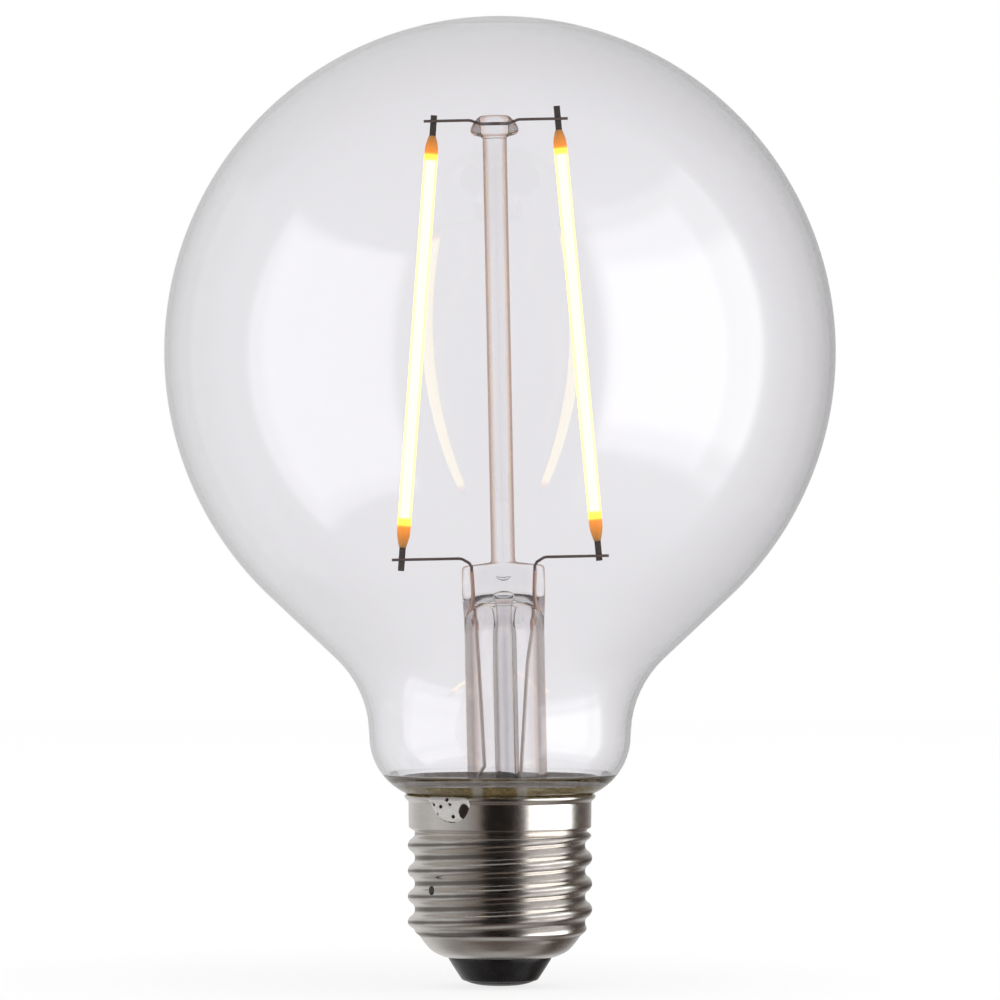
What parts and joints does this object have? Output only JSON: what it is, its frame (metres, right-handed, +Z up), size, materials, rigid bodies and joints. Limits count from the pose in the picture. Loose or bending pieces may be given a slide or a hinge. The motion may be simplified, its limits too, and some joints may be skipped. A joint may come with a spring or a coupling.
{
  "type": "globe bulb",
  "caption": "clear glass globe lamp with LED filaments on a glass stem, on an E27 screw cap",
  "frame": {"origin": "the middle of the flat face of the centre contact, the lowest point of the cap", "axes": "+Z runs up the lamp's axis from the contact to the globe; +X is to the right in the picture, in which the camera looks along +Y"},
  "size_m": [0.095, 0.095, 0.1371],
  "materials": {
    "clear_glass": "clear polished soda-lime glass, faintly lavender",
    "stem_glass": "clear drawn glass",
    "strip_ceramic": "translucent white ceramic",
    "led_chip": "small glossy chips",
    "phosphor": "yellow to orange silicone with phosphor, lit nearly white",
    "tab_metal": "dull thin sheet",
    "nickel_wire": "drawn nickel wire, slightly dull",
    "copper_wire": "copper-clad wire",
    "sleeve": "pale insulating sleeve",
    "cap_metal": "nickel plated, satin",
    "cement": "grainy brown capping cement",
    "black_glass": "glossy black glass insulator",
    "contact_metal": "plated contact plate",
    "solder": "dull pitted solder",
    "board": "bare circuit board",
    "black_plastic": "moulded component body",
    "can": "sleeved capacitor can",
    "resistor": "lacquered resistor body"
  },
  "bodies": {
    "root": {"glass_envelope": "clear_glass", "stem_flare": "stem_glass", "exhaust_tube": "stem_glass", "support_pillar": "stem_glass", "left_filament_strip": "strip_ceramic", "left_filament_chips": "led_chip", "left_filament_coating": "phosphor", "left_foot_tab": "tab_metal", "left_head_tab": "tab_metal", "right_filament_strip": "strip_ceramic", "right_filament_chips": "led_chip", "right_filament_coating": "phosphor", "right_foot_tab": "tab_metal", "right_head_tab": "tab_metal", "bridge_wire": "nickel_wire", "left_inner_lead": "nickel_wire", "right_inner_lead": "nickel_wire", "left_seal_wire": "copper_wire", "right_seal_wire": "copper_wire", "left_outer_lead": "copper_wire", "right_outer_lead": "copper_wire", "left_lead_sleeve": "sleeve", "right_lead_sleeve": "sleeve", "screw_shell": "cap_metal", "cap_cement": "cement", "cap_insulator": "black_glass", "centre_contact": "contact_metal", "centre_solder": "solder", "side_solder": "solder", "side_wire": "copper_wire", "driver_board": "board", "bridge_rectifier": "black_plastic", "driver_chip": "black_plastic", "smoothing_capacitor": "can", "fuse_resistor": "resistor", "board_solder_joints": "solder"}
  },
  "joints": []
}
